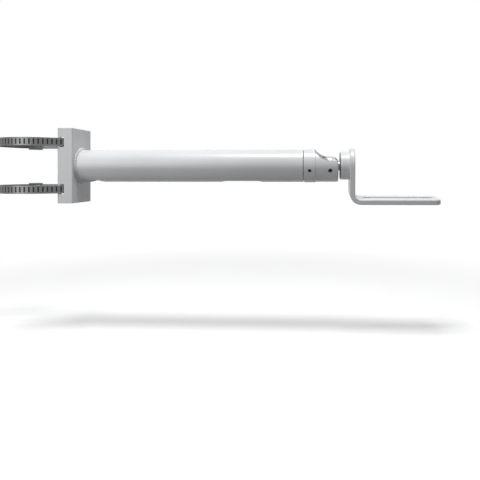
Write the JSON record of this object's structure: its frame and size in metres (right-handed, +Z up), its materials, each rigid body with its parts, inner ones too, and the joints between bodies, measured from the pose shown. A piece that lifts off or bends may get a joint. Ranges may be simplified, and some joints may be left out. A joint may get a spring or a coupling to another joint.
{
  "type": "camera pole mount bracket",
  "caption": "Pole bracket for a camera: strapped channel, welded arm tube with cable openings, lockable ball socket and bent slotted plate.",
  "frame": {"origin": "on the pole's axis, level with the arm's axis", "axes": "+Z up along the pole, +X from the pole along the arm to the camera plate, +Y to the worm screws' side"},
  "size_m": [0.6557, 0.1145, 0.1117],
  "materials": {
    "bracket_paint": "satin powder coat",
    "arm_paint": "satin powder coat",
    "turned_steel": "turned, zinc plated",
    "screw_steel": "blackened",
    "strap_steel": "rolled stainless",
    "worm_steel": "zinc plated"
  },
  "bodies": {
    "arm": {"pole_bracket": "bracket_paint", "weld_bead": "bracket_paint", "arm_tube": "arm_paint", "tube_spigot": "turned_steel", "upper_strap": "strap_steel", "lower_strap": "strap_steel", "upper_housing": "strap_steel", "lower_housing": "strap_steel"},
    "neck": {"swivel_neck": "arm_paint", "collar_screws": "screw_steel", "ball_screws": "screw_steel", "ball_seat": "turned_steel"},
    "ball": {"ball_stud": "turned_steel", "plate_screw": "screw_steel"},
    "plate": {"plate_boss": "arm_paint", "camera_plate": "arm_paint"},
    "upper_clamp_screw": {"upper_worm": "worm_steel"},
    "lower_clamp_screw": {"lower_worm": "worm_steel"}
  },
  "joints": [
    {"name": "neck_turn", "type": "hinge", "parent": "arm", "child": "neck", "pos_m": [0.42148, 0, 0], "axis": [1, 0, 0], "continuous": true},
    {"name": "ball_tilt", "type": "hinge", "parent": "neck", "child": "ball", "pos_m": [0.44268, 0, 0], "axis": [0, -0.9877, -0.1564], "range_deg": [0, 75]},
    {"name": "plate_spin", "type": "hinge", "parent": "ball", "child": "plate", "pos_m": [0.45668, 0, 0], "axis": [1, 0, 0], "continuous": true},
    {"name": "upper_worm_turn", "type": "hinge", "parent": "arm", "child": "upper_clamp_screw", "pos_m": [-0.03153, 0.05046, 0.0345], "axis": [-0.848, -0.5299, 0], "continuous": true},
    {"name": "lower_worm_turn", "type": "hinge", "parent": "arm", "child": "lower_clamp_screw", "pos_m": [-0.03153, 0.05046, -0.0345], "axis": [-0.848, -0.5299, 0], "continuous": true}
  ]
}
